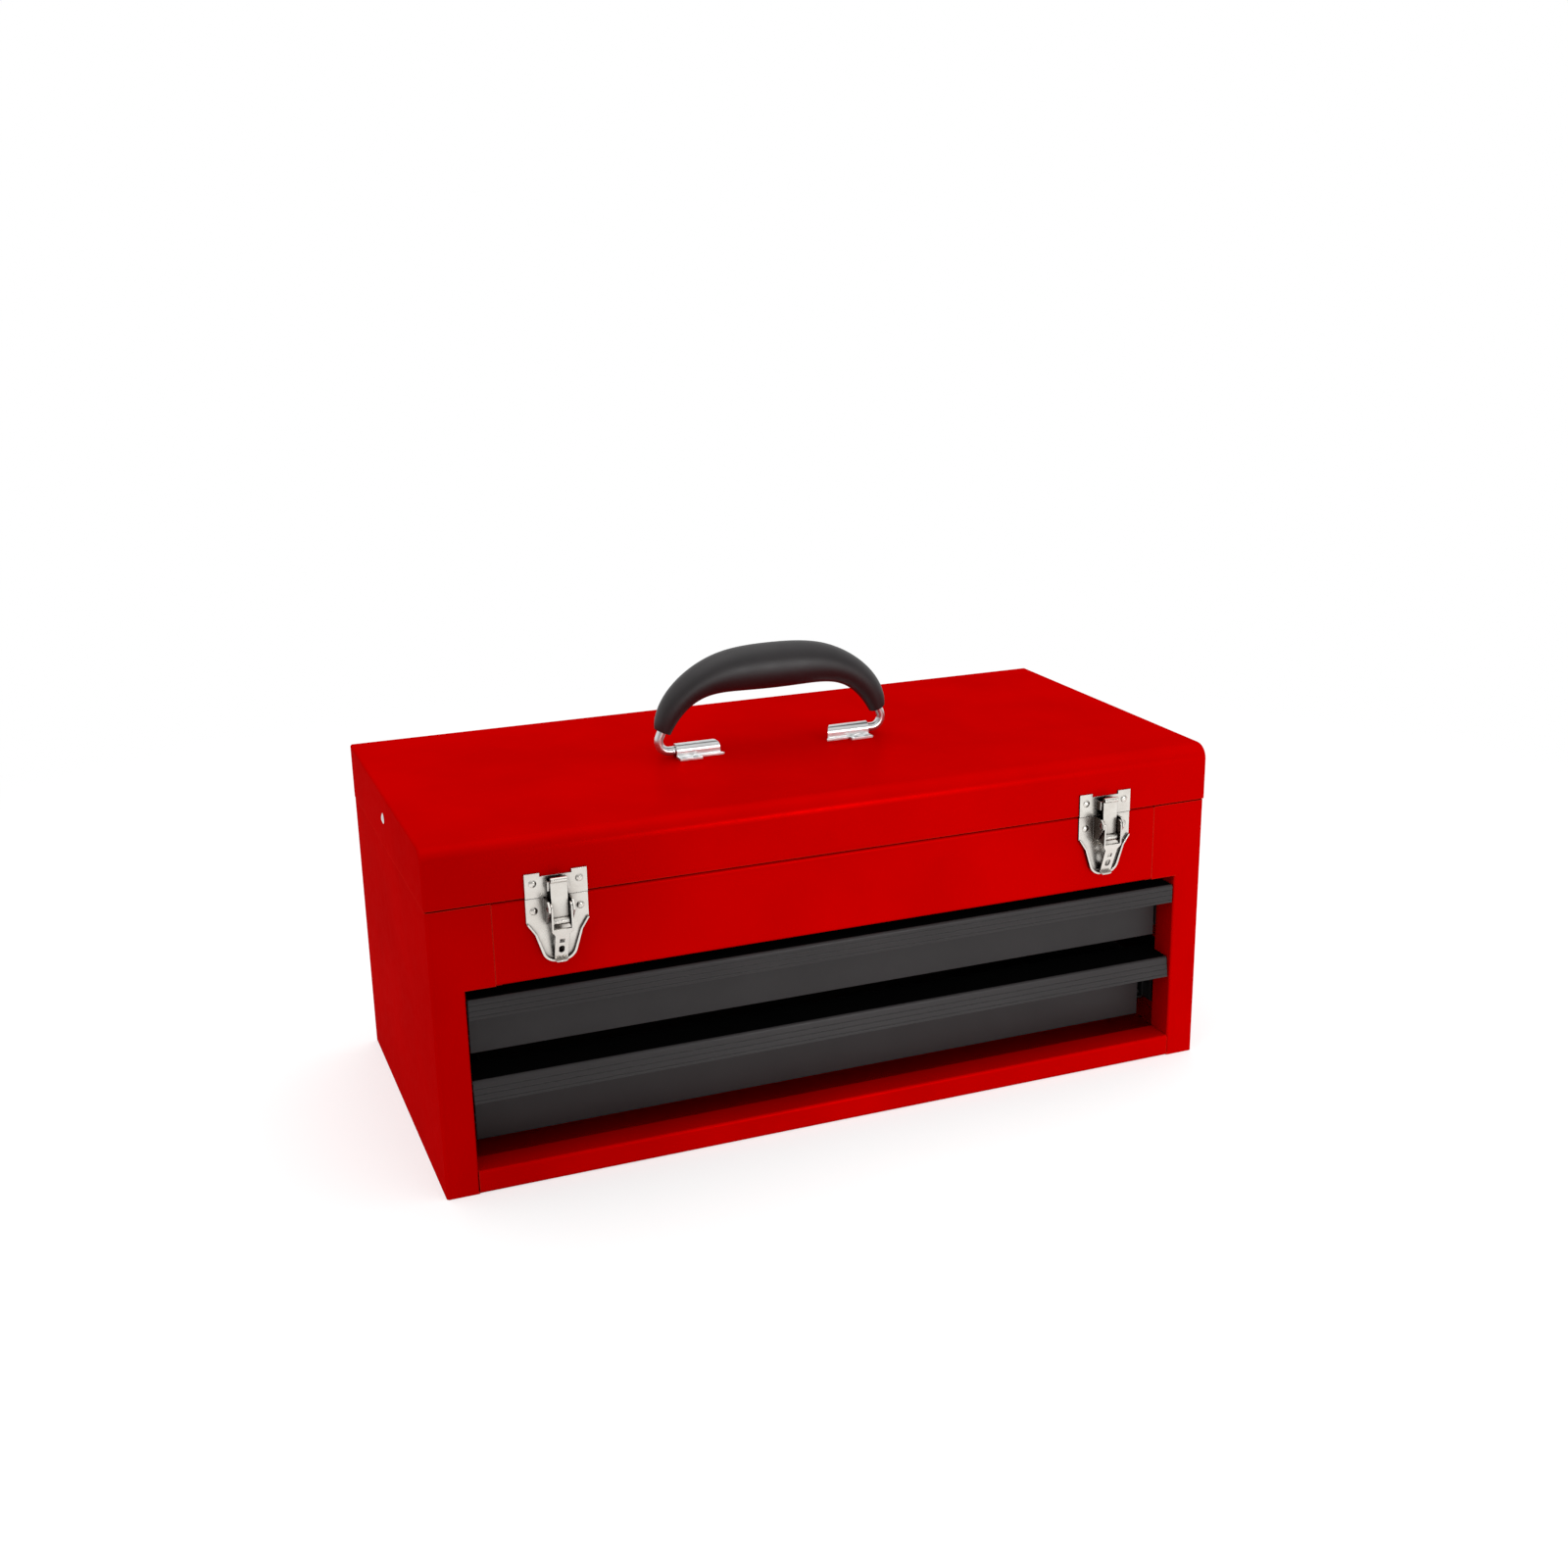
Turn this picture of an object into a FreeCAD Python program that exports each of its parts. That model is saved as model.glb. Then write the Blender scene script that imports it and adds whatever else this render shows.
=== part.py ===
import FreeCAD, Part

import math
import os

# A portable steel tool box with two drawers, a lift-up lid over a top well, a folding
# bail handle and two draw latches. Millimetres. The origin is the middle of the underside,
# +X runs to the right seen from the front, +Y to the back, +Z up. The front faces -Y.

V = FreeCAD.Vector

# Carcass
body_width = 520.0
body_depth = 248.0
sheet = 1.0
bend = 0.8
post_width = 20.0
upper_flange_width = 38.0
return_depth = 20.0
rail_height = 14.6
rail_lip = 6.0
front_panel_height = 50.9
weld_flange = 12.0
weld_flange_gap = 2.0
well_flange = 6.0
seam_line = 0.2
front_lap = 4.0
rim_hem = 8.0
ledge_depth = 8.0
floor_front_gap = 0.2

# Lid
lid_height = 36.8
lid_gap = 1.0
lid_overhang = 0.5
lid_front_radius = 10.0
lid_edge_radius = 1.6

# Piano hinge at the back of the seam
hinge_end_inset = 20.0
hinge_knuckle_count = 20
hinge_knuckle_radius = 2.4
hinge_knuckle_gap = 0.3
hinge_pin_radius = 1.2
hinge_pin_fit = 0.05
hinge_leaf_width = 16.0
hinge_leaf_thickness = 1.0
hinge_wall_gap = 0.3
hinge_leaf_gap = 0.6

# Drawers, stacked between the rail and the front panel
rail_to_lower_tray = 5.6
lower_tray_height = 47.8
between_trays = 15.8
upper_tray_height = 37.7
upper_tray_to_panel = 9.8
upper_face_setback = 17.5
upper_face_end_gap = 3.7
upper_lip_height = 12.5
upper_lip_rise = 3.5
upper_lip_setback = 0.0
upper_lip_lean = 0.0
upper_lip_end_gap = 1.2
lower_face_setback = 30.0
lower_face_end_gap = 6.2
lower_lip_height = 14.0
lower_lip_rise = 4.0
lower_lip_setback = 1.5
lower_lip_lean = 2.0
lower_lip_end_gap = 1.0
tray_back_gap = 6.0
tray_edge_radius = 1.5
front_sheet = 1.2
lip_groove_count = 3
lip_groove_pitch = 3.5
lip_groove_height = 0.8
lip_groove_depth = 0.35
lip_groove_offset = 1.6

# Ball slides, two members and a ball cage each side
slide_width = 12.7
slide_height = 27.0
slide_start_gap = 1.0
slide_back_gap = 8.0
slide_sheet = 1.2
slide_bend = 0.3
slide_flange = 10.0
slide_lip = 1.0
ball_radius = 1.8
ball_fit = 0.05
inner_hollow_start = 3.0
cage_sheet = 0.6
cage_web_gap = 0.6
cage_flange = 8.2
cage_hole_fit = 0.1
ball_count = 4
ball_pitch = 12.0
ball_place = 6.6
bracket_lip = 9.0
bracket_end_gap = 3.0
bracket_back_gap = 25.0
slide_rivet_radius = 2.0
slide_rivet_head_radius = 3.2
slide_rivet_head_height = 1.0
slide_rivet_front_inset = 20.0
slide_rivet_back_inset = 20.0
outer_rivet_front_inset = 24.0
outer_rivet_back_inset = 24.0

# Draw latches: drops are below the rim or the pivot above, rises above the catch plate's lower edge
latch_inset = 76.7
latch_half_width = 18.7
latch_plate = 1.2
latch_height = 40.0
latch_shoulder_drop = 15.2
latch_waist_drop = 21.9
latch_waist_half = 14.3
latch_tip_radius = 8.6
latch_rim = 3.0
catch_drop = 0.6
catch_height = 15.0
catch_hook_rise = 4.9
catch_hook_height = 5.5
catch_hook_reach = 6.6
catch_hook_side_gap = 0.5
catch_notch_margin = 3.0
catch_notch_depth = 2.2
latch_rivet_edge = 4.7
latch_base_rivet_drop = 7.7
latch_catch_rivet_rise = 8.9
latch_rivet_radius = 1.6
latch_rivet_head_radius = 2.4
latch_rivet_head_height = 0.9
lever_pivot_drop = 4.2
lever_pivot_reach = 10.0
lever_pivot_radius = 1.5
link_pivot_drop = 9.0
link_pivot_setback = 2.0
link_pivot_radius = 1.25
latch_pin_fit = 0.05
latch_side_gap = 0.3
base_ear_edge = 3.2
base_ear_drop = 11.7
base_ear_slope = 6.0
base_ear_corner = 3.0
lever_ear_radius = 3.0
lever_sheet = 1.0
lever_cheek_drop = 5.0
tongue_sheet = 1.2
tongue_top_proud = 2.6
tongue_top_drop = 3.8
tongue_end_reach = 4.6
tongue_drop = 24.4
tongue_shoulder_drop = 3.0
tongue_half_width = 4.3
tongue_end_half_width = 3.9
tongue_lip = 2.0
padlock_slot_width = 3.4
padlock_slot_height = 5.0
padlock_slot_rise = 3.9
staple_hole_width = 3.0
staple_hole_height = 2.6
staple_hole_gap = 2.2
padlock_slot_round_share = 0.95
link_half_width = 5.0
link_sheet = 1.2
link_hook_gap = 0.4
link_side_gap = 0.4
link_knuckle_radius = 2.4
link_roll_radius = 1.6
link_top_rise = 3.0

# Bail handle with its two lid brackets
handle_setback = 122.0
handle_pivot_rise = 4.5
handle_wire_radius = 3.0
handle_wire_fit = 0.1
handle_bracket_sheet = 1.5
bracket_back_width = 24.7
bracket_front_width = 32.0
bracket_front_reach = 7.4
bracket_tab_reach = 4.4
bracket_tab_width = 15.5
bracket_bend_gap = 3.8
bracket_rivet_setback = 2.6
bracket_rivet_inset = 4.0
bracket_rivet_radius = 1.3
bracket_rivet_head_radius = 2.1
bracket_rivet_head_height = 0.8
wire_end_length = 24.5
wire_bend_centre_offset = 72.5
wire_bend_radius = 7.0
wire_lean_deg = 25.0
wire_leg_length = 18.0
wire_top_rise = 47.8
grip_end_inset = 2.2
grip_over_wire = 2.8
grip_half_height = 15.3
grip_half_width = 13.0
# Stations of the grip from its middle to one end, as shares of its half span, its rise
# above the pivot, its half height and its half width
grip_station_shares = [
    (0.0, 1.0, 1.0, 1.0),
    (0.24, 0.996, 0.97, 0.99),
    (0.46, 0.966, 0.87, 0.95),
    (0.65, 0.88, 0.73, 0.87),
    (0.80, 0.742, 0.63, 0.78),
    (0.92, 0.545, 0.55, 0.67),
    (1.0, 0.27, 0.37, 0.48),
]

# Lid stays: the body link and the lid form a parallelogram about the hinge
stay_lid_rise = 19.8
stay_lid_reach = 126.7
stay_body_rise = 15.2
stay_body_reach = 48.7
stay_sheet = 1.5
stay_half_width = 6.0
stay_gap = 0.3
stay_pin_radius = 2.5
stay_pin_fit = 0.08
stay_head_radius = 3.5
stay_head_height = 1.0
stay_knee_head_height = 0.9
stay_collar_radius = 4.6

# Cuts run this far past the faces that they open
overrun = 2.0
# Two points or planes nearer than this share of the sheet are the same one
same_place_share = 0.001

half_width = body_width / 2
front_y = -body_depth / 2
back_y = body_depth / 2
side_in = half_width - sheet
lower_tray_base = rail_height + rail_to_lower_tray
upper_tray_base = lower_tray_base + lower_tray_height + between_trays
front_panel_base = upper_tray_base + upper_tray_height + upper_tray_to_panel
rim_height = front_panel_base + front_panel_height
lid_base = rim_height + lid_gap
lid_top = lid_base + lid_height
hinge_half = half_width - hinge_end_inset
hinge_y = back_y + hinge_wall_gap + hinge_knuckle_radius
hinge_z = rim_height + lid_gap / 2
well_floor_z = front_panel_base + sheet
opening_half = half_width - post_width
tray_half = opening_half - slide_width
slide_back = back_y - slide_back_gap

latch_offset = half_width - latch_inset
latch_top = rim_height
latch_tip = latch_top - latch_height
latch_shoulder = latch_top - latch_shoulder_drop
latch_waist = latch_top - latch_waist_drop
latch_rivet_offset = latch_half_width - latch_rivet_edge
catch_base = lid_base - catch_drop
catch_hook_base = catch_base + catch_hook_rise
catch_hook_top = catch_hook_base + catch_hook_height
catch_hook_half = link_half_width + catch_hook_side_gap
lever_pivot_height = latch_top - lever_pivot_drop
link_pivot_height = lever_pivot_height - link_pivot_drop
link_pivot_reach = lever_pivot_reach - link_pivot_setback
base_ear_reach = lever_pivot_reach + base_ear_edge
tongue_end_height = link_pivot_height - tongue_drop

handle_y = front_y + handle_setback
handle_z = lid_top + handle_pivot_rise
wire_lean = math.radians(wire_lean_deg)
bracket_outer = wire_bend_centre_offset - bracket_bend_gap
wire_widest = wire_bend_centre_offset + wire_bend_radius * math.cos(wire_lean)


def box(x0, x1, y0, y1, z0, z1):
    return Part.makeBox(x1 - x0, y1 - y0, z1 - z0, V(x0, y0, z0))


def rod(start, end, radius):
    along = end - start
    return Part.makeCylinder(radius, along.Length, start, along)


def join(solids):
    body = solids[0].multiFuse(solids[1:]) if len(solids) > 1 else solids[0]
    return body.removeSplitter()


def mirrored(shape):
    return shape.mirror(V(0, 0, 0), V(1, 0, 0))


def on_side(shape, side):
    return shape if side > 0 else mirrored(shape)


def plane_point(plane, a, b):
    """A point of a section: plane "yz" lies across X, "xz" across Y and "xy" across Z."""
    if plane == "yz":
        return V(0, a, b)
    if plane == "xz":
        return V(a, 0, b)
    return V(a, b, 0)


def rounded_face(points, radii, plane):
    """A flat face from corner points, each corner rounded by its own radius."""
    edges = []
    ends = []
    count = len(points)
    for i in range(count):
        here = V(points[i][0], points[i][1], 0)
        before = V(points[i - 1][0], points[i - 1][1], 0) - here
        after = V(points[(i + 1) % count][0], points[(i + 1) % count][1], 0) - here
        before.normalize()
        after.normalize()
        if radii[i] == 0:
            ends.append((here, here, here))
            continue
        half = before.getAngle(after) / 2
        reach = radii[i] / math.tan(half)
        middle = before + after
        middle.normalize()
        top = here + middle * (radii[i] / math.sin(half) - radii[i])
        ends.append((here + before * reach, top, here + after * reach))
    for i in range(count):
        start, top, end = ends[i]
        following = ends[(i + 1) % count][0]
        if start != end:
            arc = [plane_point(plane, p.x, p.y) for p in (start, top, end)]
            edges.append(Part.Arc(*arc).toShape())
        if (following - end).Length > sheet * same_place_share:
            edges.append(Part.makeLine(plane_point(plane, end.x, end.y),
                                       plane_point(plane, following.x, following.y)))
    return Part.Face(Part.Wire(edges))


def extrude(face, plane, low, high):
    axis = {"yz": V(1, 0, 0), "xz": V(0, 1, 0), "xy": V(0, 0, 1)}[plane]
    face.translate(axis * low)
    return face.extrude(axis * (high - low))


def plate(points, plane, low, high, radii=None):
    return extrude(rounded_face(points, radii or [0] * len(points), plane), plane, low, high)


def folded(path, thickness, inner_radius, plane, low, high):
    """Folded sheet: the path is one face of the sheet, the metal lies to its right."""
    near = [V(a, b, 0) for a, b in path]
    runs = [near[i + 1] - near[i] for i in range(len(near) - 1)]
    for run in runs:
        run.normalize()
    sides = [V(run.y, -run.x, 0) * thickness for run in runs]
    far = [near[0] + sides[0]]
    near_radii = [0]
    far_radii = [0]
    for i in range(1, len(near) - 1):
        turn = runs[i - 1].x * runs[i].y - runs[i - 1].y * runs[i].x
        bisector = sides[i - 1] + sides[i]
        bisector.normalize()
        far.append(near[i] + bisector * (thickness / math.cos(sides[i - 1].getAngle(sides[i]) / 2)))
        near_radii.append(inner_radius if turn > 0 else inner_radius + thickness)
        far_radii.append(inner_radius + thickness if turn > 0 else inner_radius)
    far.append(near[-1] + sides[-1])
    near_radii.append(0)
    far_radii.append(0)
    outline = near + far[::-1]
    radii = near_radii + far_radii[::-1]
    return extrude(rounded_face([(p.x, p.y) for p in outline], radii, plane), plane, low, high)


def head_arc(radius, height, base, way):
    """Profile of a domed head from its rim to its crown; way is 1 upwards and -1 downwards."""
    ball = (radius * radius + height * height) / (2 * height)
    centre = base + way * (height - ball)
    half = math.asin(radius / ball) / 2
    rim = V(radius, 0, base)
    middle = V(ball * math.sin(half), 0, centre + way * ball * math.cos(half))
    crown = V(0, 0, base + way * height)
    return rim, Part.Arc(rim, middle, crown).toShape(), crown


def turned(base, along, steps, low_head=None, high_head=None):
    """A turned pin: steps of (radius, length) from the base, with domed heads of (radius, height)."""
    start = last = V(0, 0, 0)
    edges = []
    if low_head:
        last, arc, start = head_arc(*low_head, 0, -1)
        edges.append(arc)
    z = 0
    corners = []
    for radius, length in steps:
        corners.extend([V(radius, 0, z), V(radius, 0, z + length)])
        z += length
    corners.append(head_arc(*high_head, z, 1)[0] if high_head else V(0, 0, z))
    for corner in corners:
        if corner != last:
            edges.append(Part.makeLine(last, corner))
        last = corner
    if high_head:
        arc, last = head_arc(*high_head, z, 1)[1:]
        edges.append(arc)
    edges.append(Part.makeLine(last, start))
    pin = Part.Face(Part.Wire(edges)).revolve(V(0, 0, 0), V(0, 0, 1), 360)
    pin.Placement = FreeCAD.Placement(base, FreeCAD.Rotation(V(0, 0, 1), along))
    return pin


def holes(places, reach, radius):
    """Straight shanks for cutting, centred on the places and reaching both ways."""
    return [rod(place - reach, place + reach, radius) for place in places]


def outward(place):
    """The way along X from the middle of the box to a place."""
    return V(math.copysign(1, place.x), 0, 0)


def write(name, shape):
    if not shape.isValid():
        print("not valid:", name)
    print(name, len(shape.Solids), round(shape.Volume, 1))
    shape.exportStep(os.path.join("parts", name + ".step"))


# Carcass panels

def side_panel(side):
    """Side wall with a narrow front post, its jamb return and a wider flange above."""
    x = half_width
    wall = [(x, back_y), (x, front_y), (x - post_width, front_y), (x - post_width, front_y + return_depth)]
    post = folded(wall, sheet, bend, "xy", sheet, front_panel_base)
    foot = folded(wall[:3], sheet, bend, "xy", 0, sheet)
    upper = [(x, back_y), (x, front_y), (x - upper_flange_width, front_y)]
    top = folded(upper, sheet, bend, "xy", front_panel_base, rim_height)
    return on_side(join([foot, post, top]), side)


def bottom_pan():
    rail_half = opening_half - seam_line
    rail = [(back_y - sheet, 0), (front_y, 0), (front_y, rail_height),
            (front_y + return_depth, rail_height), (front_y + return_depth, rail_height - rail_lip)]
    front = folded(rail, sheet, bend, "yz", -rail_half, rail_half)
    corner = sheet + bend
    floor = box(-side_in, side_in, front_y + corner, back_y - sheet, 0, sheet)
    floor_front = box(-side_in + bend, side_in - bend, front_y + sheet, front_y + corner, 0, sheet)
    pieces = [front, floor, floor_front]
    for side in (-1, 1):
        flange = box(side_in - sheet, side_in, front_y + return_depth + weld_flange_gap, back_y - sheet,
                     0, weld_flange)
        pieces.append(on_side(flange, side))
    pieces.append(box(-side_in, side_in, back_y - sheet - sheet, back_y - sheet, 0, weld_flange))
    return join(pieces)


def back_panel():
    path = [(side_in, back_y - weld_flange), (side_in, back_y), (-side_in, back_y),
            (-side_in, back_y - weld_flange)]
    low = weld_flange + weld_flange_gap
    walls = folded(path[::-1], sheet, bend, "xy", low, rim_height - lid_gap)
    foot = box(-side_in, side_in, back_y - sheet, back_y, 0, low)
    return join([walls, foot])


def front_panel():
    """Fixed panel above the drawers, lapped behind the side flanges."""
    half = half_width - upper_flange_width - seam_line
    lap = opening_half - seam_line
    path = [(front_y + rim_hem, rim_height), (front_y, rim_height),
            (front_y, front_panel_base), (front_y + ledge_depth, front_panel_base)]
    panel = folded(path[::-1], sheet, bend, "yz", -half, half)
    pieces = [panel]
    for side in (-1, 1):
        tab = box(half - front_lap, lap, front_y + sheet, front_y + sheet + sheet,
                  front_panel_base, rim_height - lid_gap)
        ledge = box(half - front_lap, lap, front_y + sheet, front_y + ledge_depth,
                    front_panel_base, front_panel_base + sheet)
        pieces.append(on_side(tab, side))
        pieces.append(on_side(ledge, side))
    return join(pieces)


def well_floor():
    """Floor of the top well, on the front panel's ledge, with weld flanges turned down."""
    front = front_y + sheet + sheet + floor_front_gap
    notch = back_y - weld_flange - weld_flange_gap
    rear = side_in - sheet - weld_flange_gap
    back = back_y - sheet
    top = well_floor_z + sheet
    pieces = [box(-side_in, side_in, front, notch, well_floor_z, top),
              box(-rear, rear, front, back, well_floor_z, top),
              box(-rear, rear, back - sheet, back, top - well_flange, top)]
    for side in (-1, 1):
        flange = box(side_in - sheet, side_in, front, notch, top - well_flange, top)
        pieces.append(on_side(flange, side))
    return join(pieces)


# Lid and piano hinge

def lid_shell():
    """Folded lid: a deep round bend along the front, tight edges elsewhere."""
    shells = []
    for inset in (0, sheet):
        x = half_width + lid_overhang - inset
        front = front_y - lid_overhang + inset
        back = back_y - inset
        low = lid_base - (overrun if inset else 0)
        high = lid_top - inset
        block = box(-x, x, front, back, low, high)
        front_edge = [e for e in block.Edges if is_edge(e, V(1, 0, 0), [("y", front), ("z", high)])]
        block = block.makeFillet(lid_front_radius - inset, front_edge)
        small = [e for e in block.Edges
                 if is_edge(e, V(0, 0, 1), [("y", back)]) or is_edge(e, V(0, 0, 1), [("y", front)])
                 or is_edge(e, V(1, 0, 0), [("y", back), ("z", high)])
                 or is_edge(e, V(0, 1, 0), [("z", high)]) or is_end_arc(e, x)]
        block = block.makeFillet(lid_edge_radius - (lid_edge_radius / 2 if inset else 0), small)
        shells.append(block)
    return shells[0].cut(shells[1])


def is_edge(edge, axis, places):
    """True for a straight edge along the axis that lies in all the given planes."""
    ends = [v.Point for v in edge.Vertexes]
    if len(ends) < 2 or edge.Curve.TypeId != "Part::GeomLine":
        return False
    run = ends[1] - ends[0]
    if run.cross(axis).Length > run.Length * same_place_share:
        return False
    slack = sheet * same_place_share
    return all(abs(getattr(p, name) - value) < slack for p in ends for name, value in places)


def is_end_arc(edge, x):
    """True for the round end of the front bend, at the lid's left or right side."""
    if edge.Curve.TypeId != "Part::GeomCircle":
        return False
    return abs(abs(edge.BoundBox.Center.x) - x) < sheet * same_place_share


def knuckle_spans(first):
    """Start and end along X of every second hinge knuckle."""
    pitch = 2 * hinge_half / hinge_knuckle_count
    spans = []
    for i in range(first, hinge_knuckle_count, 2):
        start = -hinge_half + i * pitch
        spans.append((start + hinge_knuckle_gap / 2, start + pitch - hinge_knuckle_gap / 2))
    return spans


def hinge_leaf(first, direction):
    """One hinge leaf; direction is 1 for the leaf on the lid, -1 for the one on the body."""
    root = hinge_z + direction * (hinge_knuckle_radius + hinge_leaf_gap)
    tip = root + direction * hinge_leaf_width
    outer = back_y + hinge_leaf_thickness
    pieces = [box(-hinge_half, hinge_half, back_y, outer, min(root, tip), max(root, tip))]
    bore = hinge_pin_radius + hinge_pin_fit
    for start, end in knuckle_spans(first):
        pieces.append(rod(V(start, hinge_y, hinge_z), V(end, hinge_y, hinge_z), hinge_knuckle_radius))
        tab_front = hinge_y - hinge_knuckle_radius
        pieces.append(box(start, end, tab_front, outer, min(hinge_z, root), max(hinge_z, root)))
    leaf = join(pieces)
    reach = hinge_half + overrun
    return leaf.cut(rod(V(-reach, hinge_y, hinge_z), V(reach, hinge_y, hinge_z), bore))


def hinge_pin():
    return rod(V(-hinge_half, hinge_y, hinge_z), V(hinge_half, hinge_y, hinge_z), hinge_pin_radius)


# Drawers and their ball slides. Each drawer's own values travel together.

upper = dict(base=upper_tray_base, tray=upper_tray_height, face=upper_face_setback,
             face_half=opening_half - upper_face_end_gap, lip_rise=upper_lip_rise,
             lip_height=upper_lip_height, lip_setback=upper_lip_setback, lip_lean=upper_lip_lean,
             lip_half=opening_half - upper_lip_end_gap)
lower = dict(base=lower_tray_base, tray=lower_tray_height, face=lower_face_setback,
             face_half=opening_half - lower_face_end_gap, lip_rise=lower_lip_rise,
             lip_height=lower_lip_height, lip_setback=lower_lip_setback, lip_lean=lower_lip_lean,
             lip_half=opening_half - lower_lip_end_gap)
cage_length = ball_count * ball_pitch


def tray_front(drawer):
    """Front of the tray, flat against the back of the drawer's front sheet."""
    return front_y + drawer["face"] + front_sheet


def slide_middle(drawer):
    return drawer["base"] + drawer["tray"] / 2


def slide_start(drawer):
    return tray_front(drawer) + slide_start_gap


def cage_middle(drawer):
    return (slide_start(drawer) + slide_back) / 2


def drawer_tray(drawer):
    """Open steel tray behind the drawer's front sheet."""
    front = tray_front(drawer)
    back = back_y - sheet - tray_back_gap
    top = drawer["base"] + drawer["tray"]
    outer = box(-tray_half, tray_half, front, back, drawer["base"], top)
    corners = [e for e in outer.Edges if is_edge(e, V(0, 0, 1), []) or
               any(is_edge(e, axis, [("z", drawer["base"])]) for axis in (V(1, 0, 0), V(0, 1, 0)))]
    outer = outer.makeFillet(tray_edge_radius, corners)
    inner_half = tray_half - sheet
    inner = box(-inner_half, inner_half, front + sheet, back - sheet, drawer["base"] + sheet, top + overrun)
    return outer.cut(inner)


def drawer_front(drawer):
    """One folded sheet: a set-back face, a shelf forward over it and a grooved lip to pull by."""
    half = drawer["lip_half"]
    high = drawer["base"] + drawer["tray"] + drawer["lip_rise"]
    low = high - drawer["lip_height"]
    bottom_y = front_y + drawer["lip_setback"]
    top_y = bottom_y + drawer["lip_lean"]
    back = tray_front(drawer)
    path = [(bottom_y, low), (top_y, high), (back, high), (back, drawer["base"])]
    front = folded(path, front_sheet, bend, "yz", -half, half)
    end = box(drawer["face_half"], half + overrun, back - front_sheet - bend, back + overrun,
              drawer["base"] - overrun, high + overrun)
    front = front.cut([end, mirrored(end)])
    slope = drawer["lip_lean"] / drawer["lip_height"]
    for i in range(lip_groove_count):
        z = low + lip_groove_offset + i * lip_groove_pitch
        y = bottom_y + slope * (z - low)
        front = front.cut(box(-half - overrun, half + overrun, y - overrun, y + lip_groove_depth,
                              z, z + lip_groove_height))
    return front


def slide_section(points, thickness, drawer, side, start, end):
    """Folds a slide section: each point is (distance from the mounting face, height)."""
    middle = slide_middle(drawer)
    path = [(opening_half - s, middle + z) for s, z in points]
    return on_side(folded(path, thickness, slide_bend, "xz", start, end), side)


def outer_member(drawer, side):
    top = slide_height / 2
    lip = top - slide_sheet - slide_lip
    points = [(slide_flange, lip), (slide_flange, top), (0, top), (0, -top), (slide_flange, -top),
              (slide_flange, -lip)]
    return slide_section(points, slide_sheet, drawer, side, slide_start(drawer), slide_back)


def inner_top():
    """Height of the sliding member's running face above the slide's middle."""
    return slide_height / 2 - slide_sheet - 2 * (ball_radius + ball_fit)


def inner_member(drawer, side):
    lip = inner_top() + slide_lip
    hollow = inner_top() - slide_sheet
    web = slide_width - slide_sheet
    start = inner_hollow_start
    points = [(start, lip), (start, hollow), (web, hollow), (web, -hollow), (start, -hollow), (start, -lip)]
    return slide_section(points, slide_sheet, drawer, side, slide_start(drawer), slide_back)


def ball_height():
    return slide_height / 2 - slide_sheet - ball_radius - ball_fit


def ball_centres(drawer, side):
    centres = []
    for row in (-1, 1):
        for i in range(ball_count):
            y = cage_middle(drawer) + (i - (ball_count - 1) / 2) * ball_pitch
            centres.append(V(side * (opening_half - ball_place), y,
                             slide_middle(drawer) + row * ball_height()))
    return centres


def slide_cage(drawer, side):
    top = ball_height() + cage_sheet / 2
    start = slide_sheet + cage_web_gap
    end = start + cage_flange
    points = [(end, top), (start, top), (start, -top), (end, -top)]
    start_y = cage_middle(drawer) - cage_length / 2
    cage = slide_section(points, cage_sheet, drawer, side, start_y, start_y + cage_length)
    holes = []
    reach = V(0, 0, ball_radius)
    for centre in ball_centres(drawer, side):
        holes.append(rod(centre - reach, centre + reach, ball_radius + cage_hole_fit))
    return cage.cut(holes)


def slide_balls(drawer):
    balls = [Part.makeSphere(ball_radius, c) for side in (-1, 1) for c in ball_centres(drawer, side)]
    return Part.makeCompound(balls)


def slide_bracket(drawer, side):
    """Hat section that holds the fixed slide off the side wall."""
    wall = opening_half
    middle = slide_middle(drawer)
    top = slide_height / 2
    start = front_y + return_depth + bracket_end_gap
    lip = side_in - sheet
    path = [(lip, middle - top - bracket_lip), (lip, middle - top), (wall, middle - top),
            (wall, middle + top), (lip, middle + top), (lip, middle + top + bracket_lip)]
    return on_side(folded(path, sheet, bend, "xz", start, back_y - bracket_back_gap), side)


def bracket_rivet_places(drawer):
    """Where the rivets pass the fixed slides' mounting faces."""
    return [V(side * opening_half, y, slide_middle(drawer))
            for y in (slide_start(drawer) + outer_rivet_front_inset, slide_back - outer_rivet_back_inset)
            for side in (-1, 1)]


def bracket_rivets(drawer):
    """Rivets through the fixed slides and their brackets, flush inside the slide."""
    head = (slide_rivet_head_radius, slide_rivet_head_height)
    shank = [(slide_rivet_radius, slide_sheet + sheet)]
    return [turned(place - outward(place) * slide_sheet, outward(place), shank, None, head)
            for place in bracket_rivet_places(drawer)]


def drawer_rivet_places(drawer):
    """Where the rivets pass the tray's outer side faces."""
    return [V(side * tray_half, y, slide_middle(drawer))
            for y in (slide_start(drawer) + slide_rivet_front_inset, slide_back - slide_rivet_back_inset)
            for side in (-1, 1)]


def drawer_rivets(drawer):
    """Rivets through the tray's side walls and the sliding members."""
    head = (slide_rivet_head_radius, slide_rivet_head_height)
    shank = [(slide_rivet_radius, sheet + slide_sheet)]
    return [turned(place - outward(place) * sheet, outward(place), shank, head, head)
            for place in drawer_rivet_places(drawer)]


# Draw latches, modelled about the middle of a latch and moved to each side

def latch_point(reach, height):
    """A latch point in side view: reach is how far it stands out from the front panel."""
    return (front_y - reach, height)


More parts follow.
